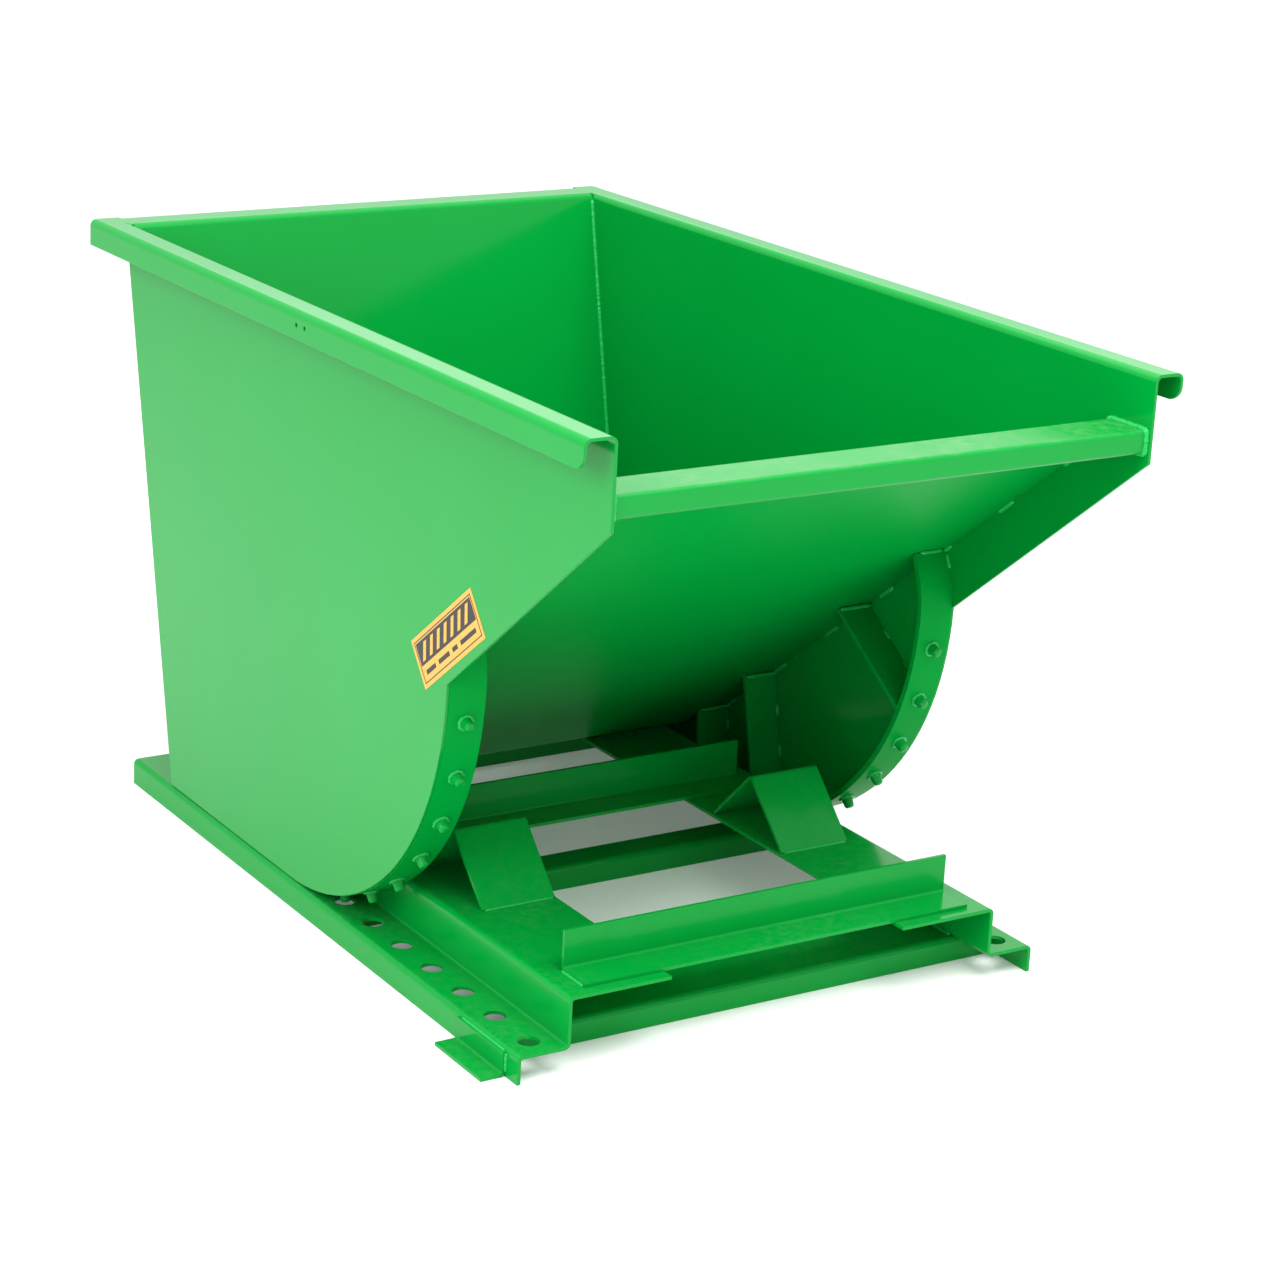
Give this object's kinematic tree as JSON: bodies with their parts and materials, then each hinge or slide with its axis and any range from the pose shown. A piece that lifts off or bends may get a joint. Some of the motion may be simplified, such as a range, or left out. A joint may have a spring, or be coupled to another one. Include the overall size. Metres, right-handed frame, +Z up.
{
  "type": "self-dumping forklift hopper",
  "caption": "Steel tipping hopper with an open sloped bin on toothed rockers that roll forward along a fork-pocket base to dump.",
  "frame": {"origin": "on the floor under the middle of the whole hopper", "axes": "+Z up, -Y towards the front lip that the bin dumps over, +X to the right seen from the front looking back"},
  "size_m": [1.0892, 1.711, 1.067],
  "materials": {
    "green_paint": "gloss enamel",
    "label_film": "gloss film",
    "plated_steel": "zinc plated",
    "grip_rubber": "matt"
  },
  "bodies": {
    "base": {"rail_left": "green_paint", "rail_right": "green_paint", "front_upper_angle": "green_paint", "mid_upper_angle": "green_paint", "rear_upper_angle": "green_paint", "front_lower_member": "green_paint", "mid_lower_member": "green_paint", "rear_lower_member": "green_paint", "deck_guard_left": "green_paint", "deck_guard_right": "green_paint", "side_bracket": "green_paint", "striker_lugs": "green_paint", "striker_bar": "plated_steel"},
    "carriage": {"centre_plug": "green_paint"},
    "bin": {"side_plate_left": "green_paint", "side_plate_right": "green_paint", "back_wall": "green_paint", "chute_and_floor": "green_paint", "front_tube": "green_paint", "rocker_strip_left": "green_paint", "rocker_strip_right": "green_paint", "rocker_pegs_left": "green_paint", "rocker_pegs_right": "green_paint", "front_brace_left": "green_paint", "front_brace_right": "green_paint", "mid_brace_left": "green_paint", "mid_brace_right": "green_paint", "rear_brace_left": "green_paint", "rear_brace_right": "green_paint", "safety_label": "label_film", "latch_ears": "green_paint", "latch_pin": "plated_steel"},
    "latch": {"latch_lever": "green_paint", "latch_handle": "green_paint", "handle_grip": "grip_rubber"}
  },
  "joints": [
    {"name": "roll_travel", "type": "slide", "parent": "base", "child": "carriage", "axis": [0, -1, 0], "range_m": [0, 0.745]},
    {"name": "bin_tip", "type": "hinge", "parent": "carriage", "child": "bin", "pos_m": [0, 0.1045, 0.5684], "axis": [1, 0, 0], "range_deg": [0, 82]},
    {"name": "latch_lever_turn", "type": "hinge", "parent": "bin", "child": "latch", "pos_m": [0, 0.6695, 0.33], "axis": [1, 0, 0], "range_deg": [0, 24]}
  ],
  "couplings": [
    {"joint": "roll_travel", "follows": "bin_tip", "m_per_rad": 0.52}
  ]
}
